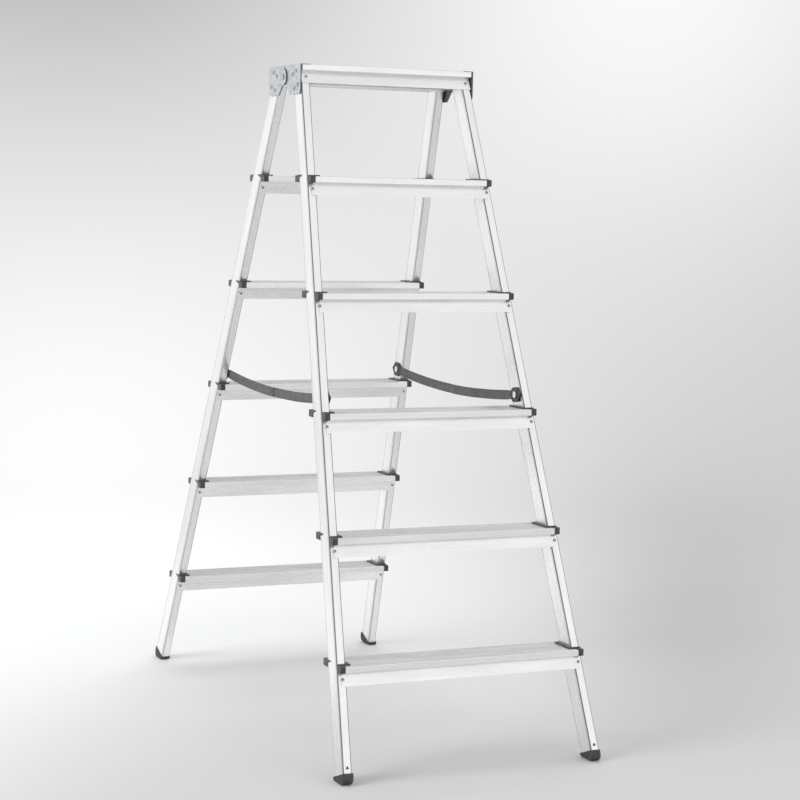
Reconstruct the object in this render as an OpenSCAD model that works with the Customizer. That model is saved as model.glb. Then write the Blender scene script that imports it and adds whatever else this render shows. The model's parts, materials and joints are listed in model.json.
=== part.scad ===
// Double-sided folding step ladder: two aluminium frames of flat treads, hinged at the top with
// riveted steel plates and held open by a pair of plastic straps.
// Frame: origin on the floor at the centre of the footprint, +X to the right, +Y to the rear, +Z up.
// Everything is in millimetres. The front frame is drawn; the rear frame is its mirror image in Y.

/* [Overall] */
// Height of the top treads above the floor
height = 1259; // [1000:1:1600]
// Half width over the rails' outer faces, at the top
top_half_w = 173.3; // [140:0.1:260]
// How far each rail moves outward per millimetre down
splay_slope = 0.0631; // [0:0.0001:0.1]
// How far each frame moves away from the centre per millimetre down
lean_slope = 0.3811; // [0.3:0.0001:0.45]
// Distance from the centre plane to the middle of a top tread
top_mid_y = 45.7; // [40:0.1:90]

/* [Treads] */
// Number of treads under the top one on each side (the node list is written for this many)
step_count = 5; // [5:1:5]
// Height of the lowest tread above the floor
first_step = 197; // [150:1:260]
// Rise from the highest step to the top tread
top_rise = 210; // [180:1:260]
// Depth of a tread from nose to nose
tread_d = 79.7; // [64:0.1:84]
// Thickness of a tread's plate under its ribs
plate_t = 1.8; // [1.2:0.1:3]
// Height of the grip ribs
rib_h = 0.7; // [0.3:0.1:1.2]
// Width of one grip rib
rib_w = 1.6; // [1:0.1:2.4]
// Distance from rib to rib
rib_pitch = 3.8; // [3:0.1:6]
// Height of a nose
nose_h = 11.6; // [8:0.1:16]
// Thickness of a nose
nose_t = 3.4; // [2:0.1:5]
// Length of the lip turned in under a nose
nose_lip = 12.5; // [4:0.1:14]
// How far the aprons reach below the tread's top
apron_h = 35; // [28:0.5:50]
// Thickness of an apron
apron_t = 1.8; // [1.2:0.1:3]
// How far an apron's end stops short of the rail's outer face
apron_inset = 5; // [2:0.5:8]

/* [Rails] */
// Width of a rail across the frame
rail_w = 17; // [14:0.1:24]
// Depth of a rail, square to the frame
rail_d = 42.5; // [30:0.1:44]
// Wall of a rail
rail_wall = 2; // [1.6:0.1:3]
// Corner radius of a rail
rail_r = 2.5; // [0.5:0.1:3]
// Width of the shadow groove beside each edge of a rail's side faces
groove_w = 1.8; // [0.6:0.1:4]
// Depth of those grooves
groove_deep = 1; // [0.3:0.1:1.2]
// Distance from a groove to the rail's edge
groove_in = 4; // [2:0.1:8]

/* [Tread end caps] */
// Width of the block that closes a nose
block_w = 10; // [7:0.1:14]
// Depth of that block below the tread's top
block_h = 11.9; // [11.6:0.1:18]
// How far the block stands above the tread
block_up = 1; // [0.2:0.1:2]
// How far the block stands in front of the nose
block_out = 0.5; // [0:0.1:1.5]
// Width of the strip around the rail
strip_w = 6; // [3:0.1:8]
// Depth of the strip below the tread's top
strip_t = 3.5; // [3:0.1:5]
// How far the strip stands above the tread
strip_up = 2.2; // [0:0.1:3]

/* [Feet] */
// Height of a foot at its outer face
foot_h = 22; // [20:0.5:50]
// Thickness of plastic around the rail
foot_wall = 1.2; // [0.8:0.1:4]
// Thickness of the sole under the lowest corner of the rail
sole_t = 3; // [2:0.5:6]
// Radius of the sole's outer edge
foot_front_r = 12; // [6:0.5:14]
// Radius of the sole's inner edge
foot_back_r = 1.5; // [1:0.5:7]
// Radius of the sole's side away from the treads
foot_side_r = 1.5; // [1:0.5:8]
// Radius of the sole's side towards the treads
foot_in_r = 5; // [1:0.5:8]
// Length of the plug inside the rail
plug_len = 25; // [15:1:60]
// Width of the locking clip above a foot
clip_w = 6; // [5:0.5:12]
// Height of that clip
clip_h = 5.5; // [3:0.5:12]
// How far the clip stands off the rail
clip_t = 0.9; // [0.5:0.1:1.5]
// Distance from the foot's top edge to the clip
clip_up = 8; // [2:0.5:20]

/* [Hinges] */
// Thickness of a hinge plate
hinge_t = 2.5; // [2:0.1:4]
// Height of a plate at its outer side
hinge_h = 56; // [50:1:66]
// Height of a plate at the centre
hinge_mid_h = 36; // [34:1:44]
// Where the lower chamfer starts, from the centre plane
hinge_cut_in = 9; // [6:0.5:12]
// Where the lower chamfer ends, from the centre plane
hinge_cut_out = 30; // [24:0.5:36]
// Radius of the plate's lower outer corner
hinge_corner_r = 8; // [3:0.5:12]
// Depth of the pivot below the top treads
pivot_drop = 22; // [20:0.5:24]
// Radius of the pivot's shank
pivot_r = 4; // [3:0.1:5]
// Radius of the pivot's heads
pivot_head_r = 6; // [6:0.1:9]
// Radius of the front plate's ear
ear_r = 15; // [12:0.5:19]
// Radius of the rear plate's ear, which lies over the front one
lobe_r = 16; // [13:0.5:20]
// How far the rear plate is joggled behind its ear
joggle_y = 24; // [22:0.5:30]
// Width of the joggle
joggle_w = 5; // [4:0.5:8]
// Radius of a plate rivet's head
plate_rivet_r = 4.2; // [3:0.1:5]
// Half the distance between the two rivets of a pair
plate_rivet_half = 9.6; // [7:0.1:12]
// Depth of the upper pair of plate rivets below the top
plate_rivet_a = 15.4; // [14:0.1:20]
// Depth of the lower pair of plate rivets below the top
plate_rivet_b = 42; // [36:0.1:46]

/* [Top trims] */
// Thickness of a top tread's dark end trim
trim_t = 1; // [0.8:0.1:1.2]
// How far the trim reaches down over the tread's end
trim_h = 7; // [4:0.5:8]
// How far the trim reaches in over the tread's top
trim_in = 18; // [8:0.5:30]

/* [Tread rivets] */
// Radius of a tread rivet's head
tread_rivet_r = 3.2; // [2.5:0.1:4.5]
// Height of a tread rivet's head
tread_rivet_h = 1.4; // [1:0.1:2]
// Depth of the tread rivets below a tread's top
tread_rivet_drop = 23.5; // [20:0.5:30]

/* [Straps] */
// Number of the step that the straps are riveted above, counted from the floor
strap_step = 3; // [3:1:3]
// Height of the strap rivets above that step
strap_up = 23.5; // [22:0.5:40]
// Height of a strap
strap_h = 18.5; // [12:0.5:21]
// Thickness of a strap
strap_t = 2; // [1.5:0.1:3]
// Sag of a strap at the middle
strap_sag = 15; // [2:0.5:16]
// Length from a strap's rivet to its first bend
head_run = 33.2; // [30:0.1:40]
// Length from the middle of a strap to its second bend
mid_run = 90; // [84:0.5:100]
// Length over which the two halves of a strap lie side by side
strap_lap = 6; // [4:0.5:10]
// How far a strap's head reaches outward from its rivet
head_out = 22; // [16:0.5:26]
// How far a strap's head reaches inward from its rivet
head_in = 22; // [16:0.5:26]
// How far a strap's head reaches above and below its rivet
head_top = 14; // [10:0.5:15]
// Radius of a strap rivet's shank
strap_pin_r = 3; // [2.5:0.1:4]
// Radius of a strap rivet's head
strap_head_r = 6.5; // [4.5:0.1:8]

/* [Clearances] */
// Gap between fixed pieces that only touch
seat_gap = 0.15; // [0.05:0.05:0.3]
// Gap between pieces that move past each other
move_gap = 0.35; // [0.3:0.05:0.6]
// Radial clearance of a pin that turns in its hole
pin_gap = 0.05; // [0.02:0.01:0.1]

/* [Hidden] */
$fn = 48;

// Angles: lean of a frame from upright, and splay of a rail inside its leaning frame
lean = atan(lean_slope);
splay = atan(splay_slope * cos(lean));
// A rail's depth measured level
rail_dy = rail_d / cos(lean);
// Height of each tread, from the floor up
step_rise = (height - top_rise - first_step) / (step_count - 1);
function step_z(i) = first_step + (i - 1) * step_rise;
// Rail outer face, rail inner face and frame centreline at height z
function out_x(z) = top_half_w + splay_slope * (height - z);
function in_x(z) = out_x(z) - rail_w / cos(splay);
function mid_y(z) = top_mid_y + lean_slope * (height - z);

// How far a point drops in height per millimetre down a rail
fall = cos(lean) * cos(splay);
rail_len = (height - sole_t - rail_d / 2 * sin(lean)) / fall;
// Half depth of a foot, and where its square top edge lies along the rail
foot_half_d = rail_d / 2 + foot_wall;
foot_top = (foot_h - height - foot_half_d * sin(lean)) / fall;

// Hinge layers across X: both plates share the first, the rear ear has the second
hinge_x = out_x(height - hinge_h) + 2.5 * seat_gap;
lobe_x = hinge_x + hinge_t + move_gap;
hinge_edge = top_mid_y + tread_d / 2;
pivot_z = height - pivot_drop;
top_end_x = hinge_x - move_gap;

// Straps: the rivet stands on the rail's centreline, the strap hangs just inside the rail
strap_z = step_z(strap_step) + strap_up;
strap_y = mid_y(strap_z);
strap_x = in_x(strap_z + head_top + 2) - move_gap;
lap_x = strap_x - strap_t - move_gap;
bend_1 = strap_y - head_run;
bend_2 = mid_run;
function sag_at(y) = -strap_sag * (1 - pow(y / strap_y, 2));

cut = 400;

module on_rear() { mirror([0, 1, 0]) children(); }
module on_left() { mirror([1, 0, 0]) children(); }

// Local frame of the front right rail: origin on its outer face at the top, Z up along it
module along_rail() {
  translate([0, -top_mid_y, height]) rotate([-lean, 0, 0])
    translate([top_half_w, 0, 0]) rotate([0, -splay, 0]) children();
}

// A square with round corners
module round_square(w, h, r) {
  translate([r, 0]) square([w - 2 * r, h]);
  translate([0, r]) square([w, h - 2 * r]);
  for (x = [r, w - r], y = [r, h - r]) translate([x, y]) circle(r);
}

// Room that a rail takes out of its neighbours
module rail_room(clear) {
  along_rail() translate([-rail_w - clear, -rail_d / 2 - clear, -rail_len - clear])
    cube([rail_w + 2 * clear, rail_d + 2 * clear, rail_len + 80]);
}

module rail() {
  color([0.83, 0.84, 0.86]) difference() {
    along_rail() translate([-rail_w, -rail_d / 2, -rail_len]) difference() {
      linear_extrude(rail_len + 40) difference() {
        round_square(rail_w, rail_d, rail_r);
        for (x = [-1, rail_w - groove_deep], y = [groove_in, rail_d - groove_in - groove_w])
          translate([x, y]) square([groove_deep + 1, groove_w]);
      }
      translate([rail_wall, rail_wall, -1])
        cube([rail_w - 2 * rail_wall, rail_d - 2 * rail_wall, rail_len + 60]);
    }
    translate([0, -cut / 2, height - rib_h - plate_t - seat_gap]) cube([cut, cut, cut]);
  }
}

// Apron beside one face of the rails, leaning with them
module apron_section(side) {
  near = side * (rail_dy / 2 + seat_gap);
  far = side * (rail_dy / 2 + seat_gap + apron_t);
  z0 = rib_h + plate_t / 2;
  left = min(near, far);
  right = max(near, far);
  polygon([[left - lean_slope * apron_h, -apron_h], [right - lean_slope * apron_h, -apron_h],
           [right - lean_slope * z0, -z0], [left - lean_slope * z0, -z0]]);
}

// Cross-section of a tread: X runs from front to rear, Y up, origin at the middle of the top
module tread_section() {
  rib_n = floor((tread_d - 2 * nose_t) / rib_pitch);
  translate([-tread_d / 2 + 1, -rib_h - plate_t]) square([tread_d - 2, plate_t]);
  for (k = [0 : rib_n - 1])
    translate([(k - (rib_n - 1) / 2) * rib_pitch - rib_w / 2, -rib_h - plate_t / 2])
      square([rib_w, rib_h + plate_t / 2]);
  for (s = [0, 1]) mirror([s, 0]) {
    translate([-tread_d / 2, -nose_h]) round_square(nose_t, nose_h, nose_t * 0.4);
    translate([-tread_d / 2, -nose_h]) round_square(nose_lip, 2.2, 1);
  }
  apron_section(-1);
  apron_section(1);
}

module tread_bar(z, half) {
  translate([-half, -mid_y(z), z]) rotate([90, 0, 90]) linear_extrude(2 * half) tread_section();
}

module tread(z) {
  color([0.86, 0.87, 0.89]) difference() {
    tread_bar(z, out_x(z) - apron_inset);
    for (s = [0, 1]) mirror([s, 0, 0]) {
      // room for the end blocks
      translate([out_x(z) - block_w - seat_gap, -mid_y(z) - tread_d, z - block_h - seat_gap])
        cube([cut, 2 * tread_d, cut]);
      // notch for the strip around the rail
      translate([in_x(z) - strip_w - seat_gap, -mid_y(z) - rail_dy / 2 - strip_w - seat_gap,
                 z - strip_t - seat_gap])
        cube([cut, rail_dy + 2 * strip_w + 2 * seat_gap, cut]);
      rail_room(seat_gap);
    }
  }
}

module top_tread() {
  color([0.86, 0.87, 0.89]) difference() {
    tread_bar(height, top_end_x - trim_t - seat_gap);
    // recess for the trims' tongues
    for (s = [0, 1]) mirror([s, 0, 0])
      translate([top_end_x - trim_in - seat_gap, -mid_y(height) - tread_d, height - trim_t - seat_gap])
        cube([cut, 2 * tread_d, cut]);
  }
}

// Plastic end cap: a block on each nose, joined by a strip around the rail
module cap(z) {
  block_d = (tread_d - rail_dy) / 2 + block_out;
  w = out_x(z);
  color([0.27, 0.27, 0.28]) difference() {
    translate([0, -mid_y(z), z]) {
      for (s = [0, 1]) mirror([0, s, 0])
        translate([w - block_w, -tread_d / 2 - block_out, -block_h]) rotate([90, 0, 90])
          linear_extrude(block_w) {
            round_square(block_d - 1, block_h + block_up, 2);
            translate([block_d - 5, 0]) square([5.5, block_h + block_up]);
          }
      translate([in_x(z) - strip_w, -rail_dy / 2 - strip_w, -strip_t])
        cube([w - in_x(z) + strip_w, rail_dy + 2 * strip_w, strip_t + strip_up]);
    }
    rail_room(seat_gap);
  }
}

module caps(z) { cap(z); on_left() cap(z); }

// Dark end trim of a top tread: a plate over its end and a tongue let in flush with its top
module top_trim() {
  color([0.2, 0.2, 0.21]) translate([0, -mid_y(height), height]) {
    translate([top_end_x - trim_t, -tread_d / 2, -trim_h]) cube([trim_t, tread_d, trim_h]);
    translate([top_end_x - trim_in, -tread_d / 2, -trim_t]) cube([trim_in, tread_d, trim_t]);
  }
}

// Points along an arc, and the centre of a round of radius r in a corner p whose edges leave it at
// angles a0 and a1
function arc(c, r, a0, a1) = [for (k = [0 : 8]) c + r * [cos(a0 + (a1 - a0) * k / 8), sin(a0 + (a1 - a0) * k / 8)]];
function round_centre(p, a0, a1, r) = p + r / sin((a1 - a0) / 2) * [cos((a0 + a1) / 2), sin((a0 + a1) / 2)];

// Foot seen from the side: flat on the floor, square to the rail at the top
module foot_side() {
  half = foot_half_d / cos(lean);
  up = 90 - lean;
  front = [-mid_y(0) - half, 0];
  back = [-mid_y(0) + half, 0];
  top = front + foot_h * [lean_slope, 1];
  polygon(concat(
    arc(round_centre(front, 0, up, foot_front_r), foot_front_r, 180 - lean, 270),
    arc(round_centre(back, up, 180, foot_back_r), foot_back_r, 270, 360 - lean),
    [top + 2 * foot_half_d * [cos(lean), -sin(lean)], top]));
}

// Foot seen from the front, taller than it needs to be
module foot_front() {
  tip = atan(splay_slope);
  inner = [in_x(0) - foot_wall, 0];
  outer = [out_x(0) + foot_wall, 0];
  rise = 2 * foot_h;
  polygon(concat(
    arc(round_centre(inner, 0, 90 + tip, foot_in_r), foot_in_r, 180 + tip, 270),
    arc(round_centre(outer, 90 + tip, 180, foot_side_r), foot_side_r, 270, 360 + tip),
    [outer + rise * [-splay_slope, 1], inner + rise * [-splay_slope, 1]]));
}

module foot() {
  gap = rail_wall + seat_gap;
  color([0.26, 0.26, 0.27]) {
    difference() {
      intersection() {
        rotate([90, 0, 90]) linear_extrude(2 * out_x(0)) foot_side();
        rotate([90, 0, 0]) linear_extrude(2 * mid_y(0)) foot_front();
      }
      rail_room(seat_gap);
    }
    along_rail() translate([-rail_w + gap, -rail_d / 2 + gap, -rail_len - 1])
      cube([rail_w - 2 * gap, rail_d - 2 * gap, plug_len + 1]);
  }
}

module foot_clip() {
  color([0.12, 0.12, 0.13]) along_rail()
    translate([-rail_w / 2 - clip_w / 2, -rail_d / 2 - seat_gap, foot_top + clip_up])
      rotate([90, 0, 0]) linear_extrude(clip_t) polygon([[0, 0], [clip_w, 0], [clip_w / 2, clip_h]]);
}

// Outline of a hinge plate: X runs away from the centre plane, Y up from the top treads
module hinge_outline() {
  difference() {
    polygon([[1, -hinge_mid_h], [hinge_cut_in, -hinge_mid_h], [hinge_cut_out, -hinge_h],
             [hinge_edge, -hinge_h], [hinge_edge, 0], [1, 0]]);
    translate([hinge_edge - hinge_corner_r, -hinge_h + hinge_corner_r]) difference() {
      translate([0, -hinge_corner_r - 1]) square(hinge_corner_r + 1);
      circle(hinge_corner_r);
    }
  }
}

// Places of the four rivets of one plate, as [distance from the centre plane, height]
function plate_rivet_at(drop, side) =
  [mid_y(height - drop) - side * plate_rivet_half * cos(lean),
   height - drop - side * plate_rivet_half * sin(lean)];
plate_rivets = [for (drop = [plate_rivet_a, plate_rivet_b], side = [-1, 1]) plate_rivet_at(drop, side)];

module plate_rivet_holes() {
  for (p = plate_rivets) translate([p[0], p[1] - height]) circle(plate_rivet_r / 2 + pin_gap);
}

// A flat outline stood up across X at x0, drawn for the rear side
module upright(x0, t) { translate([x0, 0, height]) rotate([90, 0, 90]) linear_extrude(t) children(); }

module front_hinge() {
  color([0.76, 0.78, 0.8]) on_rear() upright(hinge_x, hinge_t) difference() {
    union() {
      hinge_outline();
      translate([0, -pivot_drop]) circle(ear_r);
    }
    translate([0, -pivot_drop]) circle(pivot_r + pin_gap);
    plate_rivet_holes();
  }
}

module rear_hinge() {
  color([0.76, 0.78, 0.8]) {
    upright(hinge_x, hinge_t) difference() {
      hinge_outline();
      translate([0, -pivot_drop]) circle(ear_r + 4 * move_gap);
      plate_rivet_holes();
    }
    upright(hinge_x, lobe_x + hinge_t - hinge_x)
      translate([joggle_y, -pivot_drop - hinge_t * 5.4]) square([joggle_w, hinge_t * 11]);
    upright(lobe_x, hinge_t) difference() {
      union() {
        translate([0, -pivot_drop]) circle(lobe_r);
        translate([0, -pivot_drop - hinge_t * 5.4]) square([joggle_y + 1, hinge_t * 11]);
      }
      translate([0, -pivot_drop]) circle(pivot_r + pin_gap);
    }
  }
}

// Domed rivet head standing on z = 0
module rivet_head(r, h) {
  cylinder(r = r, h = h * 0.45);
  translate([0, 0, h * 0.45]) cylinder(r1 = r, r2 = r * 0.6, h = h * 0.55);
}

module pivot() {
  color([0.8, 0.81, 0.83]) translate([0, 0, pivot_z]) rotate([0, 90, 0]) {
    translate([0, 0, hinge_x - seat_gap - 1.5]) cylinder(r = pivot_head_r - 1, h = 1.5);
    translate([0, 0, hinge_x - seat_gap - 1]) cylinder(r = pivot_r, h = lobe_x + hinge_t - hinge_x + 2);
    translate([0, 0, lobe_x + hinge_t + move_gap]) rivet_head(pivot_head_r, 2.6);
  }
}

module hinge_rivets() {
  color([0.8, 0.81, 0.83]) for (p = plate_rivets) translate([0, -p[0], p[1]]) rotate([0, 90, 0]) {
    translate([0, 0, out_x(p[1]) + 2 * seat_gap])
      cylinder(r = plate_rivet_r / 2, h = hinge_x + hinge_t - out_x(p[1]));
    translate([0, 0, hinge_x + hinge_t + seat_gap]) rivet_head(plate_rivet_r, 1.8);
  }
}

// Rivets of one tread end: one on each apron, over the rail's centreline
module tread_rivets(z) {
  zr = z - tread_rivet_drop;
  from_mid = rail_dy / 2 + seat_gap + apron_t + seat_gap / cos(lean);
  color([0.82, 0.83, 0.85]) for (s = [-1, 1])
    translate([in_x(zr) + rail_w / 2, s * from_mid - mid_y(zr), zr]) rotate([-s * 90 - lean, 0, 0])
      rivet_head(tread_rivet_r, tread_rivet_h);
}

module all_tread_rivets() {
  for (s = [0, 1]) mirror([s, 0, 0]) {
    for (i = [1 : step_count]) tread_rivets(step_z(i));
    tread_rivets(height);
  }
}

module strap_rivet() {
  x0 = in_x(strap_z) - 2 * seat_gap;
  color([0.85, 0.86, 0.88]) translate([x0, -strap_y, strap_z]) rotate([0, -90, 0]) {
    cylinder(r = strap_pin_r, h = x0 - strap_x + strap_t + 2 * seat_gap + 1);
    translate([0, 0, x0 - strap_x + strap_t + 2 * seat_gap]) rivet_head(strap_head_r, 2.4);
  }
}

// Outline of a strap between two distances from its middle: X rear, Y up from the rivet
module strap_outline(y0, y1) {
  h = strap_h / 2;
  polygon([[y0, sag_at(y0) - h], [y1, sag_at(y1) - h], [y1, sag_at(y1) + h], [y0, sag_at(y0) + h]]);
}

// The six flat pieces of the right strap: the rear ones are the front ones mirrored, but the two
// middle pieces lie side by side
module strap_piece(x0) { translate([x0 - strap_t, 0, strap_z]) rotate([90, 0, 90]) linear_extrude(strap_t) children(); }

module strap_head() {
  color([0.32, 0.32, 0.33]) on_rear() strap_piece(strap_x) difference() {
    union() {
      strap_outline(bend_1 + seat_gap, strap_y);
      translate([strap_y, 0]) polygon([[-head_in, 0], [-head_in * 0.45, -head_top],
        [head_out * 0.45, -head_top], [head_out, 0], [head_out * 0.45, head_top], [-head_in * 0.45, head_top]]);
    }
    translate([strap_y, 0]) circle(strap_pin_r + pin_gap);
  }
}

module strap_run() {
  color([0.32, 0.32, 0.33]) on_rear() strap_piece(strap_x)
    strap_outline(bend_2 + seat_gap, bend_1 - seat_gap);
}

module strap_lap(x0) {
  color([0.32, 0.32, 0.33]) on_rear() strap_piece(x0) {
    strap_outline(0, bend_2 - seat_gap);
    strap_outline(-strap_lap / 2, 1);
  }
}

on_left() rail();  // front_left_rail
rail();  // front_right_rail
on_rear() on_left() rail();  // rear_left_rail
on_rear() rail();  // rear_right_rail
tread(step_z(1));  // front_tread_1
tread(step_z(2));  // front_tread_2
tread(step_z(3));  // front_tread_3
tread(step_z(4));  // front_tread_4
tread(step_z(5));  // front_tread_5
top_tread();  // front_top_tread
on_rear() tread(step_z(1));  // rear_tread_1
on_rear() tread(step_z(2));  // rear_tread_2
on_rear() tread(step_z(3));  // rear_tread_3
on_rear() tread(step_z(4));  // rear_tread_4
on_rear() tread(step_z(5));  // rear_tread_5
on_rear() top_tread();  // rear_top_tread
caps(step_z(1));  // front_caps_1
caps(step_z(2));  // front_caps_2
caps(step_z(3));  // front_caps_3
caps(step_z(4));  // front_caps_4
caps(step_z(5));  // front_caps_5
on_rear() caps(step_z(1));  // rear_caps_1
on_rear() caps(step_z(2));  // rear_caps_2
on_rear() caps(step_z(3));  // rear_caps_3
on_rear() caps(step_z(4));  // rear_caps_4
on_rear() caps(step_z(5));  // rear_caps_5
on_left() foot();  // front_left_foot
foot();  // front_right_foot
on_rear() on_left() foot();  // rear_left_foot
on_rear() foot();  // rear_right_foot
union() { foot_clip(); on_left() foot_clip(); }  // front_foot_clips
on_rear() { foot_clip(); on_left() foot_clip(); }  // rear_foot_clips
on_left() front_hinge();  // front_left_hinge
front_hinge();  // front_right_hinge
on_left() rear_hinge();  // rear_left_hinge
rear_hinge();  // rear_right_hinge
on_left() pivot();  // left_pivot
pivot();  // right_pivot
union() { hinge_rivets(); on_left() hinge_rivets(); }  // front_hinge_rivets
on_rear() { hinge_rivets(); on_left() hinge_rivets(); }  // rear_hinge_rivets
all_tread_rivets();  // front_tread_rivets
on_rear() all_tread_rivets();  // rear_tread_rivets
union() { top_trim(); on_left() top_trim(); }  // front_top_trims
on_rear() { top_trim(); on_left() top_trim(); }  // rear_top_trims
union() { strap_rivet(); on_left() strap_rivet(); }  // front_strap_rivets
on_rear() { strap_rivet(); on_left() strap_rivet(); }  // rear_strap_rivets
on_left() strap_head();  // left_strap_front_head
on_left() strap_run();  // left_strap_front_run
on_left() strap_lap(lap_x);  // left_strap_front_lap
on_left() on_rear() strap_head();  // left_strap_rear_head
on_left() on_rear() strap_run();  // left_strap_rear_run
on_left() on_rear() strap_lap(strap_x);  // left_strap_rear_lap
strap_head();  // right_strap_front_head
strap_run();  // right_strap_front_run
strap_lap(lap_x);  // right_strap_front_lap
on_rear() strap_head();  // right_strap_rear_head
on_rear() strap_run();  // right_strap_rear_run
on_rear() strap_lap(strap_x);  // right_strap_rear_lap
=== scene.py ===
"""Looks of a double-sided folding step ladder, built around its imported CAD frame.

Lengths are metres. The ladder stands on z = 0, its treads run along X, and the front frame
leans towards -Y.
"""

import json
import math

import bmesh
import bpy
import numpy as np
from mathutils import Matrix, Vector


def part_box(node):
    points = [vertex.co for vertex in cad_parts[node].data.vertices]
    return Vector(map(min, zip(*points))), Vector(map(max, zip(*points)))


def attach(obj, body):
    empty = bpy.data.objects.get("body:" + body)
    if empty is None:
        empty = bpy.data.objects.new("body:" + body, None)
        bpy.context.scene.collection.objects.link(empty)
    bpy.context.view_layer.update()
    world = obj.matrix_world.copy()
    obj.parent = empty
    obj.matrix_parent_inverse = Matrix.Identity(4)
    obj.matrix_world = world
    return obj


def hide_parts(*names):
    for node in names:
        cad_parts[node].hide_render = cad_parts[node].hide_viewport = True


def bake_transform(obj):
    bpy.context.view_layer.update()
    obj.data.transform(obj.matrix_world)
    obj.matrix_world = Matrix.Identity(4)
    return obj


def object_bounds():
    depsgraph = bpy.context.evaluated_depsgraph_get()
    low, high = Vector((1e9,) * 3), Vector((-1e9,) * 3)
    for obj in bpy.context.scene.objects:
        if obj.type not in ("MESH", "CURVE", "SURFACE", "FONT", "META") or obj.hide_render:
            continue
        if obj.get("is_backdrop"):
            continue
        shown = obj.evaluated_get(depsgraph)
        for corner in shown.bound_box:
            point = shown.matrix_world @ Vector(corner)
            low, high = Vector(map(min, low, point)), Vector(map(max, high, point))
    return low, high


MM = 0.001
OUTWARD = {"left": -1, "right": 1}   # the way along X that a side faces
AWAY = {"front": -1, "rear": 1}      # the way along Y that a frame leans, from the middle

# Camera at eye level, to the left of the ladder's front.
CAMERA_AT = Vector((-1.6316, -3.8684, 1.029))
CAMERA_YAW = 0.4161
CAMERA_PITCH = -0.0986
CAMERA_ROLL = 0.0231
SENSOR = 36.0
LENS = 96.01

# Edges of the CAD parts are softened by this much.
EDGE_METAL = 0.25 * MM
EDGE_PLASTIC = 0.6 * MM
# Faces turned at least this many degrees from a rail's flat sides belong to its corners.
CORNER_FROM = 12
# What a rail's section takes up of its box, across the ladder and along it.
RAIL_ACROSS = 17 * MM
RAIL_ALONG = 45 * MM
TREADS = range(1, 6)

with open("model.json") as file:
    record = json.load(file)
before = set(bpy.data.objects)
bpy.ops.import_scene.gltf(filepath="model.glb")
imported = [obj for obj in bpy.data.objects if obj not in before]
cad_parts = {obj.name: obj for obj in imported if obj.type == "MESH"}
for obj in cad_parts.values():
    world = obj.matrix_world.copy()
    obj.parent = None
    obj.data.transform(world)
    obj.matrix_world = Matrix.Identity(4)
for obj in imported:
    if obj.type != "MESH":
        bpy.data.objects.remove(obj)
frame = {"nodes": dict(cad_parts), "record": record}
cad_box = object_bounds()
joint_at = {j["name"]: Vector(j["pos_m"]) for j in frame["record"]["behaviour"]["joints"]}


# ---------------------------------------------------------------------------------------------
# Shader helpers
# ---------------------------------------------------------------------------------------------


class Nodes:
    """Adds nodes to a tree. An input may be a value or another node's output."""

    def __init__(self, tree):
        self.tree = tree

    def add(self, kind, inputs=(), **settings):
        node = self.tree.nodes.new("ShaderNode" + kind)
        for name, value in settings.items():
            setattr(node, name, value)
        for name, value in dict(inputs).items():
            self.feed(node.inputs[name], value)
        return node

    def feed(self, socket, value):
        if isinstance(value, bpy.types.NodeSocket):
            self.tree.links.new(value, socket)
        else:
            socket.default_value = value

    def math(self, operation, a, b=0.0):
        return self.add("Math", {0: a, 1: b}, operation=operation).outputs[0]

    def blend(self, a, share, b):
        """Part share of a, and the rest of b."""
        return self.math("ADD", self.math("MULTIPLY", a, share), self.math("MULTIPLY", b, 1 - share))

    def dot(self, vector, axis):
        node = self.add("VectorMath", {0: vector, 1: tuple(axis)}, operation="DOT_PRODUCT")
        return node.outputs["Value"]

    def here(self):
        """Object coordinates."""
        return self.add("TexCoord").outputs["Object"]

    def along(self, axis, stretch, pinch):
        """Object coordinates squeezed along one axis, so that a texture runs along it."""
        axis = Vector(axis).normalized()
        side = axis.orthogonal().normalized()
        up = axis.cross(side)
        at = self.here()
        parts = [self.math("MULTIPLY", self.dot(at, d), k)
                 for d, k in ((axis, stretch), (side, pinch), (up, pinch))]
        return self.add("CombineXYZ", dict(enumerate(parts))).outputs[0]

    def noise(self, vector, scale, detail=3.0, rough=0.55):
        return self.add("TexNoise", {"Vector": vector, "Scale": scale, "Detail": detail,
                                     "Roughness": rough}).outputs["Fac"]

    def spread(self, value, low, high, start=0.3, end=0.7):
        """Maps start..end of a value onto low..high."""
        return self.add("MapRange", {"Value": value, "From Min": start, "From Max": end,
                                     "To Min": low, "To Max": high}).outputs["Result"]

    def tint(self, value, dark, light, start=0.3, end=0.7):
        """Colour that goes from dark to light with a value."""
        node = self.add("Mix", {"Factor": self.spread(value, 0.0, 1.0, start, end)}, data_type="RGBA")
        for socket, colour in zip((i for i in node.inputs if i.type == "RGBA"), (dark, light)):
            socket.default_value = (*colour, 1)
        return next(o for o in node.outputs if o.type == "RGBA")

    def bump(self, height, strength, distance):
        return self.add("Bump", {"Height": height, "Strength": strength,
                                 "Distance": distance}).outputs["Normal"]


def material(name, colour, metallic, roughness, normal=None):
    """Material whose colour, roughness and normal are made by functions of its Nodes."""
    made = bpy.data.materials.new(name)
    made.use_nodes = True
    nodes = Nodes(made.node_tree)
    shader = made.node_tree.nodes["Principled BSDF"]
    nodes.feed(shader.inputs["Base Color"], colour(nodes))
    nodes.feed(shader.inputs["Roughness"], roughness(nodes))
    shader.inputs["Metallic"].default_value = metallic
    if normal:
        nodes.feed(shader.inputs["Normal"], normal(nodes))
    return made


# ---------------------------------------------------------------------------------------------
# Materials
# ---------------------------------------------------------------------------------------------


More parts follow.
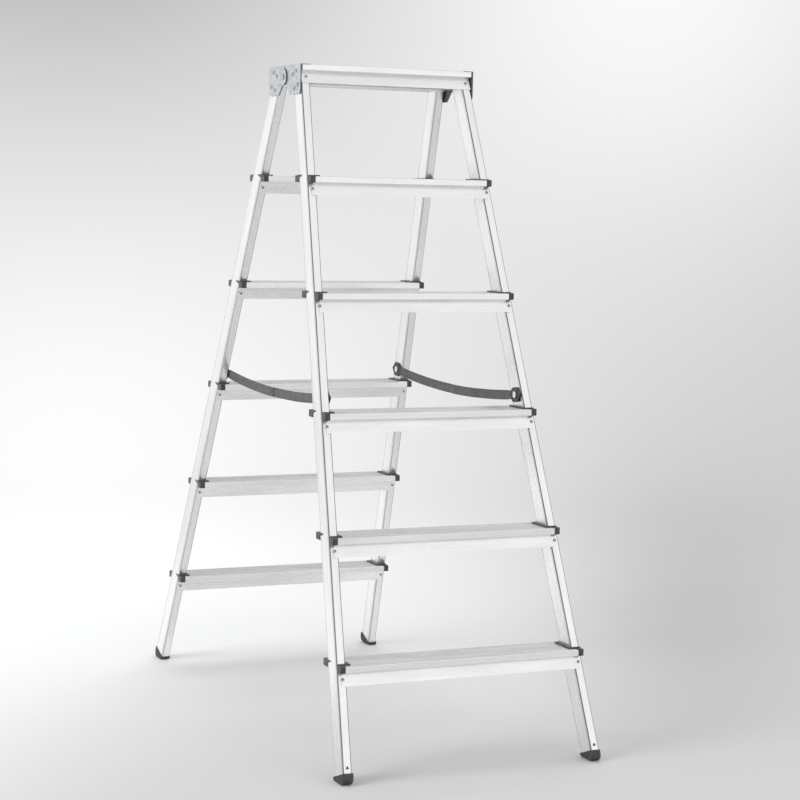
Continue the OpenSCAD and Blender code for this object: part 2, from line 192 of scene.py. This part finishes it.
def aluminium(name, axis, dark, light, rough):
    """Extruded aluminium: faint die lines along its axis, and cloudy handling marks."""

    def colour(n):
        lines = n.noise(n.along(axis, 1.5, 900), 1.0, 2.0)
        clouds = n.noise(n.along(axis, 6.0, 40), 1.0, 5.0, 0.6)
        return n.tint(n.blend(lines, 0.3, clouds), dark, light, 0.36, 0.6)

    def roughness(n):
        return n.spread(n.noise(n.along(axis, 3, 260), 1.0, 3.0), rough - 0.06, rough + 0.08)

    def normal(n):
        lines = n.noise(n.along(axis, 2, 1400), 1.0, 2.0)
        return n.bump(lines, 0.12, 0.03 * MM)

    return material(name, colour, 0.9, roughness, normal)


def galvanised(name, dark, light):
    """Zinc plated steel: soft crystal patches over a cool grey."""

    def patches(n):
        return n.add("TexVoronoi", {"Vector": n.here(), "Scale": 260.0,
                                    "Randomness": 1.0}).outputs["Color"]

    def colour(n):
        return n.tint(n.blend(patches(n), 0.35, n.noise(n.here(), 90.0, 5.0)), dark, light)

    def roughness(n):
        return n.spread(patches(n), 0.34, 0.5, 0.0, 1.0)

    def normal(n):
        return n.bump(n.noise(n.here(), 700.0, 2.0), 0.15, 0.1 * MM)

    return material(name, colour, 0.7, roughness, normal)


def plastic(name, dark, light, rough, grain=0.35):
    """Moulded plastic: fine spark-eroded grain and slightly scuffed, paler patches."""

    def colour(n):
        return n.tint(n.noise(n.here(), 140.0, 6.0, 0.65), dark, light, 0.35, 0.7)

    def roughness(n):
        return n.spread(n.noise(n.here(), 60.0, 4.0), rough - 0.07, rough + 0.09)

    def normal(n):
        return n.bump(n.noise(n.here(), 2600.0, 2.0), grain, 0.08 * MM)

    return material(name, colour, 0.0, roughness, normal)


def rivet_metal(name, dark, light):
    """Metal of a set rivet, a little duller in its smears."""

    def colour(n):
        return n.tint(n.noise(n.here(), 420.0, 3.0), dark, light)

    def roughness(n):
        return n.spread(n.noise(n.here(), 800.0, 2.0), 0.22, 0.36)

    return material(name, colour, 0.9, roughness)


def rail_axis(end, side):
    """Direction of a rail, down to its foot, read from its node's corners."""
    low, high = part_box(f"{end}_{side}_rail")
    return Vector((OUTWARD[side] * (high.x - low.x - RAIL_ACROSS),
                   AWAY[end] * (high.y - low.y - RAIL_ALONG), low.z - high.z))


# Dark and light of the rails' flat sides, and of their corners. The corners are painted dark as a
# painted reflection of dark surroundings, darker on the front frame than on the rear.
RAIL_SATIN = (0.89, 0.893, 0.897), (0.98, 0.982, 0.985)
RAIL_CORNER_PAINTED_REFLECTION = {"front": ((0.22, 0.22, 0.23), (0.34, 0.34, 0.35)),
               "rear": ((0.45, 0.455, 0.46), (0.60, 0.603, 0.608))}
rail_metal = {(e, s): aluminium(f"rail_aluminium_{e}_{s}", rail_axis(e, s), *RAIL_SATIN, 0.27)
              for e in AWAY for s in OUTWARD}
painted_reflection_corner_metal = {(e, s): aluminium(f"corner_aluminium_{e}_{s}", rail_axis(e, s), *RAIL_CORNER_PAINTED_REFLECTION[e], 0.4)
                for e in AWAY for s in OUTWARD}
tread_metal = aluminium("tread_aluminium", (1, 0, 0), (0.87, 0.874, 0.88), (0.98, 0.982, 0.985), 0.27)
hinge_metal = galvanised("hinge_zinc", (0.46, 0.485, 0.51), (0.72, 0.74, 0.755))
# Painted shade: near-black zinc for the hinge plates' inner sides and edges.
hinge_shade = galvanised("hinge_zinc_painted_shade", (0.10, 0.105, 0.115), (0.17, 0.175, 0.185))
rivet_finish = rivet_metal("rivet_aluminium", (0.46, 0.47, 0.49), (0.70, 0.71, 0.73))
bright_rivet = rivet_metal("bright_rivet", (0.80, 0.81, 0.82), (0.95, 0.955, 0.96))
# The mandrel's steel in a rivet's hole, painted near black as painted shade in the recess.
mandrel_steel_painted_shade = rivet_metal("mandrel_steel_painted_shade", (0.05, 0.05, 0.055), (0.12, 0.12, 0.125))
cap_plastic = plastic("cap_plastic", (0.03, 0.03, 0.032), (0.07, 0.07, 0.073), 0.36)
foot_rubber = plastic("foot_rubber", (0.03, 0.03, 0.032), (0.075, 0.075, 0.078), 0.62)
clip_plastic = plastic("clip_plastic", (0.012, 0.012, 0.013), (0.03, 0.03, 0.032), 0.45)
trim_plastic = plastic("trim_plastic", (0.02, 0.02, 0.022), (0.05, 0.05, 0.053), 0.5)
strap_plastic = plastic("strap_plastic", (0.06, 0.06, 0.062), (0.12, 0.12, 0.123), 0.48, 0.25)
strap_head_plastic = plastic("strap_head_plastic", (0.03, 0.03, 0.032), (0.06, 0.06, 0.063), 0.45, 0.25)


# ---------------------------------------------------------------------------------------------
# CAD parts
# ---------------------------------------------------------------------------------------------


def soften(obj, width):
    """Rounds the sharp edges of a CAD part without touching its own vertices."""
    weld = obj.modifiers.new("weld", "WELD")
    weld.merge_threshold = 0.002 * MM
    bevel = obj.modifiers.new("bevel", "BEVEL")
    bevel.width = width
    bevel.segments = 2
    bevel.limit_method = "ANGLE"
    bevel.angle_limit = math.radians(35)
    bevel.use_clamp_overlap = True


def paint(obj, *materials):
    obj.data.materials.clear()
    for m in materials:
        obj.data.materials.append(m)


def paint_corners(obj, axis):
    """Gives a rail's rounded corners, which lie between its four flat sides, its second material, a
    painted dark reflection.
    """
    mesh = obj.data
    across = Vector((1, 0, 0)) - Vector((1, 0, 0)).project(axis)
    across.normalize()
    for face in mesh.polygons:
        lean = abs(face.normal.dot(across))
        along = abs(face.normal.dot(axis))
        if along < 0.2 and CORNER_FROM < math.degrees(math.acos(min(lean, 1))) < 90 - CORNER_FROM:
            face.material_index = 1


def paint_inner_faces(obj, outward):
    """Gives a hinge plate's edges, and its side towards the treads, its second material, a painted
    shade for the shadow on its inner side and in the gap between the plates.
    """
    for face in obj.data.polygons:
        if face.normal.x * outward < 0.7:
            face.material_index = 1


def node(name):
    return frame["nodes"][name]


def dress(name, width, *materials):
    """Paints a CAD part and softens its edges."""
    paint(node(name), *materials)
    soften(node(name), width)


for end in AWAY:
    for side in OUTWARD:
        rail = node(f"{end}_{side}_rail")
        # The corners get a painted reflection: dark aluminium that stands in for the dark surroundings
        # they reflect.
        paint(rail, rail_metal[end, side], painted_reflection_corner_metal[end, side])
        paint_corners(rail, rail_axis(end, side).normalized())
        dress(f"{end}_{side}_foot", EDGE_PLASTIC, foot_rubber)
        dress(f"{end}_{side}_hinge", EDGE_METAL, hinge_metal, hinge_shade)
        paint_inner_faces(node(f"{end}_{side}_hinge"), OUTWARD[side])
    for step in TREADS:
        dress(f"{end}_tread_{step}", EDGE_METAL, tread_metal)
        dress(f"{end}_caps_{step}", EDGE_PLASTIC, cap_plastic)
    dress(f"{end}_top_tread", EDGE_METAL, tread_metal)
    dress(f"{end}_foot_clips", EDGE_METAL, clip_plastic)
    dress(f"{end}_top_trims", EDGE_METAL, trim_plastic)
for side in OUTWARD:
    dress(f"{side}_pivot", EDGE_METAL, rivet_finish)


# ---------------------------------------------------------------------------------------------
# Rivets
# ---------------------------------------------------------------------------------------------


SAME_POINT = 0.01 * MM      # CAD vertices this close are one point,
SAME_LEVEL = 0.02 * MM      # and points this level lie in one plane
LEAST_SHANK = 0.3 * MM      # a rivet that goes no deeper below its head has no shank
RIVET_SIDES = 28
TREAD_RIVET_HEAD = 1.4 * MM
HINGE_RIVET_HEAD = 1.6 * MM
STRAP_RIVET_HEAD = 2.2 * MM


def islands(mesh):
    """Vertex positions and triangles of each separate solid in a mesh."""
    at = np.array([v.co for v in mesh.vertices])
    _, same = np.unique(np.round(at / SAME_POINT).astype(int), axis=0, return_inverse=True)
    same = same.reshape(-1)
    parent = list(range(same.max() + 1))

    def root(i):
        while parent[i] != i:
            parent[i] = parent[parent[i]]
            i = parent[i]
        return i

    for face in mesh.polygons:
        ids = [root(same[v]) for v in face.vertices]
        for i in ids[1:]:
            parent[root(i)] = root(ids[0])
    groups = {}
    for face in mesh.polygons:
        groups.setdefault(root(same[face.vertices[0]]), []).append(face)
    for faces in groups.values():
        used = sorted({v for f in faces for v in f.vertices})
        yield at[used], faces


def measure_rivet(points, faces):
    """(middle of the crown, outward axis, radius, whole length) of a rivet."""
    planes = {}
    for f in faces:
        key = tuple(np.round([*f.normal, f.normal.dot(f.center) / MM], 2))
        planes.setdefault(key, []).append(f)
    best = max(planes.values(), key=lambda group: sum(f.area for f in group))
    axis = np.array(best[0].normal)
    levels = points @ axis
    flat = float(np.array(best[0].center) @ axis)
    rim = points[np.abs(levels - flat) < SAME_LEVEL]
    middle = (rim.min(0) + rim.max(0)) / 2
    spread = np.linalg.norm(points - middle - np.outer(levels - flat, axis), axis=1)
    wide = levels[spread > 0.95 * spread.max()]
    # The crown's edge is narrower than the head. A head without a shank ends at its widest part,
    # and one with a shank is nearer to its crown than to the shank's end.
    near, far = sorted((float(np.abs(wide - tip).min()), tip) for tip in (levels.min(), levels.max()))
    crown = far[1] if near[0] < SAME_LEVEL else near[1]
    outward = axis if crown == levels.max() else -axis
    centre = Vector(middle + (crown - flat) * axis)
    return centre, Vector(outward), float(spread.max()), float(levels.max() - levels.min())


def lathe(bm, centre, axis, profile, dark_from):
    """Turns (radius, height) points about an axis. The first and last lie on it.
    Faces past profile point dark_from get the second material, which paints shade into a rivet's hole."""
    side = axis.orthogonal().normalized()
    up = axis.cross(side)
    rings = []
    for radius, height in profile:
        middle = centre + axis * height
        if radius < 1e-7:
            rings.append([bm.verts.new(middle)])
            continue
        rings.append([bm.verts.new(middle + radius * (math.cos(a) * side + math.sin(a) * up))
                      for a in (2 * math.pi * k / RIVET_SIDES for k in range(RIVET_SIDES))])
    for level, (below, above) in enumerate(zip(rings, rings[1:])):
        for k in range(RIVET_SIDES):
            j = (k + 1) % RIVET_SIDES
            quad = [below[k % len(below)], below[j % len(below)],
                    above[j % len(above)], above[k % len(above)]]
            unique = list(dict.fromkeys(quad))
            if len(unique) > 2:
                bm.faces.new(unique).material_index = int(level >= dark_from)


def rivet_profile(radius, head, length, hole):
    """Half section of a pop rivet, heights below its crown, from the shank's end up to the mandrel's
    tip, and the number of the point where the mandrel's hole starts, whose steel is painted near black
    as painted shade."""
    shank = radius * 0.55
    lip = head * 0.28
    dome = [(radius * math.cos(a), -head + lip + (head - lip) * math.sin(a))
            for a in (math.radians(d) for d in range(0, 70, 10))]
    inner = radius * hole
    start = [(0, -head)]
    if length > head + LEAST_SHANK:
        start = [(0, -length), (shank, -length), (shank, -head)]
    outside = [*start, (radius * 0.94, -head), (radius, -head + lip * 0.5),
               *(p for p in dome if p[0] > inner * 1.15)]
    inside = [(inner * 1.05, -head * 0.12), (inner, -head * 0.25), (inner * 0.9, -head * 0.6),
              (inner * 0.45, -head * 0.5), (0, -head * 0.42)]
    return outside + inside, len(outside)


def make_rivets(end, kind, head, finish, hole):
    """Domed rivets in place of a CAD node's plain ones. hole is the mandrel's share of the radius."""
    name = f"{end}_{kind}_rivets"
    bm = bmesh.new()
    for points, faces in islands(node(name).data):
        centre, axis, radius, length = measure_rivet(points, faces)
        lathe(bm, centre, axis, *rivet_profile(radius, head, length, hole))
    bmesh.ops.recalc_face_normals(bm, faces=bm.faces)
    obj = new_object(f"{name}_domed", bm, finish, mandrel_steel_painted_shade)
    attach(obj, f"{end}_frame")
    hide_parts(name)


def new_object(name, bm, *materials):
    """Object made from a bmesh, smooth but for its sharp edges."""
    mesh = bpy.data.meshes.new(name)
    bm.to_mesh(mesh)
    bm.free()
    obj = bpy.data.objects.new(name, mesh)
    bpy.context.scene.collection.objects.link(obj)
    for m in materials:
        mesh.materials.append(m)
    mesh.shade_smooth()
    mesh.set_sharp_from_angle(angle=math.radians(38))
    return obj


for end in AWAY:
    make_rivets(end, "tread", TREAD_RIVET_HEAD, rivet_finish, hole=0.42)
    make_rivets(end, "hinge", HINGE_RIVET_HEAD, rivet_finish, hole=0.3)
    make_rivets(end, "strap", STRAP_RIVET_HEAD, bright_rivet, hole=0.12)


# ---------------------------------------------------------------------------------------------
# Spreader straps
# ---------------------------------------------------------------------------------------------

STATION = 2.5 * MM      # spacing of the cross sections along a strap
TURN_ROOM = 11 * MM     # how far a bend reaches on each side of its hinge line
STRAP_EDGE = 0.5 * MM   # rounding of a strap's edges
WEB_DEPTH = 0.35 * MM   # how far a strap's middle lies below its two rims
RIM_WIDTH = 2.2 * MM
BAND = 9.2 * MM         # half height of the plain band
NECK_AT = 20 * MM       # the band narrows this far from the rivet,
NECK_CUT = 1.2 * MM     # by this much at each edge,
NECK_REACH = 7 * MM     # over about this length
LAP_SETTLES = 3 * MM    # the front lap has stepped sideways this far before its bend,
LAP_STEP = 14 * MM      # over this length
TIP_THIN = 0.25         # share of its thickness that a lap keeps at its tip,
TIP_RUN = 16 * MM       # to which it thins over this length
HEAD_INSET = 0.3 * MM   # room left between a strap's visible end and the CAD head's
HEAD_TIP = 0.8 * MM     # half height of the head's blunt tip
HEAD_LOW, HEAD_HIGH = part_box("left_strap_front_head")
HEAD_RISE = (HEAD_HIGH.z - HEAD_LOW.z) / 2 - 0.1 * MM
HEAD_END = abs(HEAD_LOW.y) - abs(joint_at["left_strap_front_swing"].y)
HEAD_FLAT = HEAD_END * 0.45


def strap_section(half_height, thick):
    """Closed outline (across, up) of a strap: two rims with a shallow web between them."""
    t = thick / 2
    h, r = half_height, min(RIM_WIDTH, half_height / 2)
    e, w = min(STRAP_EDGE, t * 0.8), min(WEB_DEPTH, t * 0.4)
    corner = [(t - e + e * math.sin(a), h - e + e * math.cos(a))
              for a in (math.radians(d) for d in (0, 30, 60, 90))]
    upper = corner + [(t, h - r), (t - w, h - r - w)]
    quarter = upper + [(x, -y) for x, y in reversed(upper)]
    return quarter + [(-x, -y) for x, y in quarter]


def sweep(bm, path, sections):
    """Skins a closed outline carried along a path in planes of nearly constant x."""
    rings = []
    for k, (point, outline) in enumerate(zip(path, sections)):
        before, after = path[max(k - 1, 0)], path[min(k + 1, len(path) - 1)]
        tangent = (after - before).normalized()
        up = Vector((1, 0, 0)).cross(tangent).normalized()
        if up.z < 0:
            up = -up
        rings.append([bm.verts.new(point + Vector((a, 0, 0)) + b * up) for a, b in outline])
    for one, two in zip(rings, rings[1:]):
        for k in range(len(one)):
            j = (k + 1) % len(one)
            bm.faces.new([one[k], one[j], two[j], two[k]])
    bm.faces.new(rings[0])
    bm.faces.new(rings[-1])


def strap_facts(side, end):
    """Where one half of a strap lies, read from its links and joints."""
    base = f"{side}_strap_{end}_"
    head, run, lap = (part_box(base + part) for part in ("head", "run", "lap"))
    rivet = joint_at[base + "swing"]
    out, back = joint_at[base + "bend_out"], joint_at[base + "bend_back"]
    tip = lap[0].y if end == "rear" else -lap[1].y
    return {"base": base, "rivet": rivet, "out": out, "back": back, "tip": tip,
            "edge": max(abs(head[0].y), abs(head[1].y)), "thick": head[1].x - head[0].x,
            "run_x": (run[0].x + run[1].x) / 2, "lap_x": (lap[0].x + lap[1].x) / 2}


def strap_half(side, end):
    """The two visible pieces of one half of a strap. Each reaches across one of its hinge lines."""
    f = strap_facts(side, end)
    away, reach, level, tip = AWAY[end], abs(f["rivet"].y), f["rivet"].z, f["tip"]
    sag = (level - f["back"].z) / (1 - (f["back"].y / reach) ** 2)
    middle = (abs(f["out"].y) + abs(f["back"].y)) / 2
    mate = strap_facts(side, "rear" if end == "front" else "front")
    to_mate = math.copysign(1, mate["lap_x"] - f["lap_x"])

    def thickness_at(s):
        """The lap thins out towards its tip, so that its end hardly shows."""
        return TIP_THIN + (1 - TIP_THIN) * min(max((s - tip) / TIP_RUN, 0), 1)

    def on_curve(s, x):
        """Point of the hanging strap at distance s from the ladder's middle plane."""
        z = level - sag * (1 - (s / reach) ** 2)
        return Vector((x, away * s, z))

    def x_at(s):
        """The front lap lies one layer further in than its run. A thin tip keeps to its mate's side."""
        settled = abs(f["back"].y) + TURN_ROOM + LAP_SETTLES
        t = min(max((settled + LAP_STEP - s) / LAP_STEP, 0), 1)
        x = f["run_x"] + (f["lap_x"] - f["run_x"]) * t * t * (3 - 2 * t)
        return x + to_mate * (1 - thickness_at(s)) * f["thick"] / 2

    def half_height_at(s):
        """Six-sided head round the rivet, a narrow neck, then the plain band."""
        slope = HEAD_RISE / (HEAD_END - HEAD_FLAT)
        head = HEAD_RISE - max(abs(s - reach) - HEAD_FLAT, 0) * slope
        neck = NECK_CUT * math.exp(-(((reach - s) - NECK_AT) / NECK_REACH) ** 2)
        return max(head, BAND - neck if s < reach else HEAD_TIP)

    for part, start, stop, links, bend, replaced in (
            ("fixed", f["edge"] - HEAD_INSET, middle, ("head", "run"), f["out"], ("head",)),
            ("free", middle, tip, ("run", "lap"), f["back"], ("run", "lap"))):
        count = max(2, round(abs(start - stop) / STATION))
        corners = [reach + HEAD_FLAT, reach - HEAD_FLAT] if part == "fixed" else []
        stations = sorted({*(start + (stop - start) * k / count for k in range(count + 1)), *corners},
                          reverse=True)
        path = [on_curve(s, x_at(s)) for s in stations]
        sections = [strap_section(half_height_at(s), f["thick"] * thickness_at(s)) for s in stations]
        bm = bmesh.new()
        sweep(bm, path, sections)
        bmesh.ops.recalc_face_normals(bm, faces=bm.faces)
        if part == "fixed":
            for face in bm.faces:
                if away * face.calc_center_median().y > reach - HEAD_END:
                    face.material_index = 1
        obj = new_object(f"{f['base']}{part}_part", bm, strap_plastic, strap_head_plastic)
        [f["base"] + link for link in links]
        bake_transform(obj)
        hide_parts(*(f["base"] + link for link in replaced))


for side in OUTWARD:
    for end in AWAY:
        strap_half(side, end)


# ---------------------------------------------------------------------------------------------
# Set: floor, surroundings, lamps and camera
# ---------------------------------------------------------------------------------------------


def camera_axes():
    """Right, up and forward of the camera."""
    forward = Vector((math.sin(CAMERA_YAW) * math.cos(CAMERA_PITCH),
                      math.cos(CAMERA_YAW) * math.cos(CAMERA_PITCH), math.sin(CAMERA_PITCH)))
    right = forward.cross(Vector((0, 0, 1))).normalized()
    up = right.cross(forward)
    c, s = math.cos(CAMERA_ROLL), math.sin(CAMERA_ROLL)
    return c * right + s * up, -s * right + c * up, forward


RIGHT, UP, FORWARD = camera_axes()

SURROUND_GREY = 0.57    # grey that the surroundings have away from the pools

# Soft pools of light and shade behind the ladder: (across, up, radius, gain), as slopes from the
# camera's axis.
POOLS = (
    (-0.13, -0.07, 0.18, 0.39),
    (0.12, 0.21, 0.14, 0.34),
    (-0.16, 0.30, 0.15, -0.34),
    (0.13, -0.10, 0.06, -0.13),
    (-0.12, -0.21, 0.14, -0.31),
)
# Broad pools elsewhere round the set, which the metal reflects: (direction, spread, gain).
WIDE_POOLS = (
    ((-0.45, 0.88, 0.05), 0.20, 0.42),
    ((0.40, -0.88, 0.20), 0.35, 0.42),
)


def surround_grey(n, direction):
    """Brightness of the surroundings in a fixed direction from the set's viewpoint."""
    ahead = n.math("MAXIMUM", n.dot(direction, FORWARD), 0.05)
    across = n.math("DIVIDE", n.dot(direction, RIGHT), ahead)
    up = n.math("DIVIDE", n.dot(direction, UP), ahead)
    total = SURROUND_GREY
    for u, w, radius, gain in POOLS:
        du, dw = n.math("SUBTRACT", across, u), n.math("SUBTRACT", up, w)
        square = n.math("ADD", n.math("MULTIPLY", du, du), n.math("MULTIPLY", dw, dw))
        fall = n.math("EXPONENT", n.math("DIVIDE", square, -radius * radius))
        total = n.math("ADD", n.math("MULTIPLY", fall, gain), total)
    for axis, spread, gain in WIDE_POOLS:
        miss = n.math("SUBTRACT", n.dot(direction, Vector(axis).normalized()), 1.0)
        fall = n.math("EXPONENT", n.math("DIVIDE", miss, spread))
        total = n.math("ADD", n.math("MULTIPLY", fall, gain), total)
    return n.math("MINIMUM", total, 1.0)


def seen_rays(n):
    """1 for rays from the camera, and for those that metal and gloss send out."""
    path = n.add("LightPath").outputs
    return n.math("MAXIMUM", path["Is Camera Ray"],
                  n.math("MAXIMUM", path["Is Glossy Ray"], path["Is Transmission Ray"]))


FLOOR_RADIUS = 400.0
FLOOR_NEAR, FLOOR_FAR = 1.6, 3.6   # from here to there, the floor's shading fades into the surroundings
FLOOR_GAIN = 0.97
FLOOR_DROP = 0.2 * MM


def make_floor():
    bm = bmesh.new()
    bmesh.ops.create_circle(bm, cap_ends=True, segments=96, radius=FLOOR_RADIUS)
    mesh = bpy.data.meshes.new("floor")
    bm.to_mesh(mesh)
    bm.free()
    floor = bpy.data.objects.new("floor", mesh)
    bpy.context.scene.collection.objects.link(floor)
    floor.location.z = cad_box[0].z - FLOOR_DROP
    made = bpy.data.materials.new("floor")
    made.use_nodes = True
    tree = made.node_tree
    tree.nodes.remove(tree.nodes["Principled BSDF"])
    n = Nodes(tree)
    # The floor's colour carries the surroundings' pools: painted light and painted shade, among them a
    # painted shadow to the right behind the ladder. Further off the floor glows with them, as painted
    # light.
    at = n.add("NewGeometry").outputs["Position"]
    away = n.add("VectorMath", {0: at, 1: CAMERA_AT}, operation="SUBTRACT").outputs["Vector"]
    grey = surround_grey(n, n.add("VectorMath", {0: away}, operation="NORMALIZE").outputs["Vector"])
    distance = n.add("VectorMath", {0: at}, operation="LENGTH").outputs["Value"]
    far = n.add("MapRange", {"Value": distance, "From Min": FLOOR_NEAR, "From Max": FLOOR_FAR},
                interpolation_type="SMOOTHSTEP").outputs["Result"]
    diffuse = n.add("BsdfDiffuse", {"Color": n.math("MULTIPLY", grey, FLOOR_GAIN)}).outputs[0]
    glow = n.add("Emission", {"Color": grey, "Strength": 1.0}).outputs[0]
    swap = n.math("MULTIPLY", far, seen_rays(n))
    both = n.add("MixShader", {0: swap, 1: diffuse, 2: glow}).outputs[0]
    tree.links.new(both, tree.nodes["Material Output"].inputs["Surface"])
    mesh.materials.append(made)
    floor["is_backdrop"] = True


WORLD_LIGHT = 0.66


def make_world():
    world = bpy.data.worlds.new("surroundings")
    world.use_nodes = True
    bpy.context.scene.world = world
    n = Nodes(world.node_tree)
    direction = n.add("TexCoord").outputs["Generated"]
    grey = surround_grey(n, direction)
    seen = n.add("Background", {"Color": grey, "Strength": 1.0}).outputs[0]
    light = n.add("Background", {"Color": (1, 1, 1, 1), "Strength": WORLD_LIGHT}).outputs[0]
    both = n.add("MixShader", {0: seen_rays(n), 1: light, 2: seen}).outputs[0]
    world.node_tree.links.new(both, world.node_tree.nodes["World Output"].inputs["Surface"])


def area_lamp(name, at, aim, size, energy, colour=(1, 1, 1)):
    data = bpy.data.lights.new(name, "AREA")
    data.shape = "RECTANGLE"
    data.size, data.size_y = size
    data.energy = energy
    data.color = colour
    lamp = bpy.data.objects.new(name, data)
    lamp.location = at
    lamp.rotation_euler = (Vector(aim) - Vector(at)).to_track_quat("-Z", "Y").to_euler()
    lamp.visible_glossy = False     # the metal reflects the pools instead
    bpy.context.scene.collection.objects.link(lamp)


def make_camera():
    data = bpy.data.cameras.new("camera")
    data.sensor_width = SENSOR
    data.lens = LENS
    data.clip_end = 2 * FLOOR_RADIUS
    camera = bpy.data.objects.new("camera", data)
    turned = Matrix((RIGHT, UP, -FORWARD)).transposed().to_4x4()
    camera.matrix_world = Matrix.Translation(CAMERA_AT) @ turned
    bpy.context.scene.collection.objects.link(camera)
    bpy.context.scene.camera = camera


MIDDLE = (cad_box[0] + cad_box[1]) / 2
make_floor()
make_world()
area_lamp("key", (-4.4, -0.6, 3.0), MIDDLE, (2.6, 2.6), 110)
area_lamp("front", (0.6, -5.2, 2.2), MIDDLE, (3.6, 2.4), 65)
area_lamp("top", (0.8, 1.6, 4.6), MIDDLE, (3.4, 3.4), 85, (0.95, 0.97, 1.0))
make_camera()
bpy.context.scene.view_settings.view_transform = "Standard"

visual_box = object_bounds()
[[list(corner) for corner in box] for box in (cad_box, visual_box)]
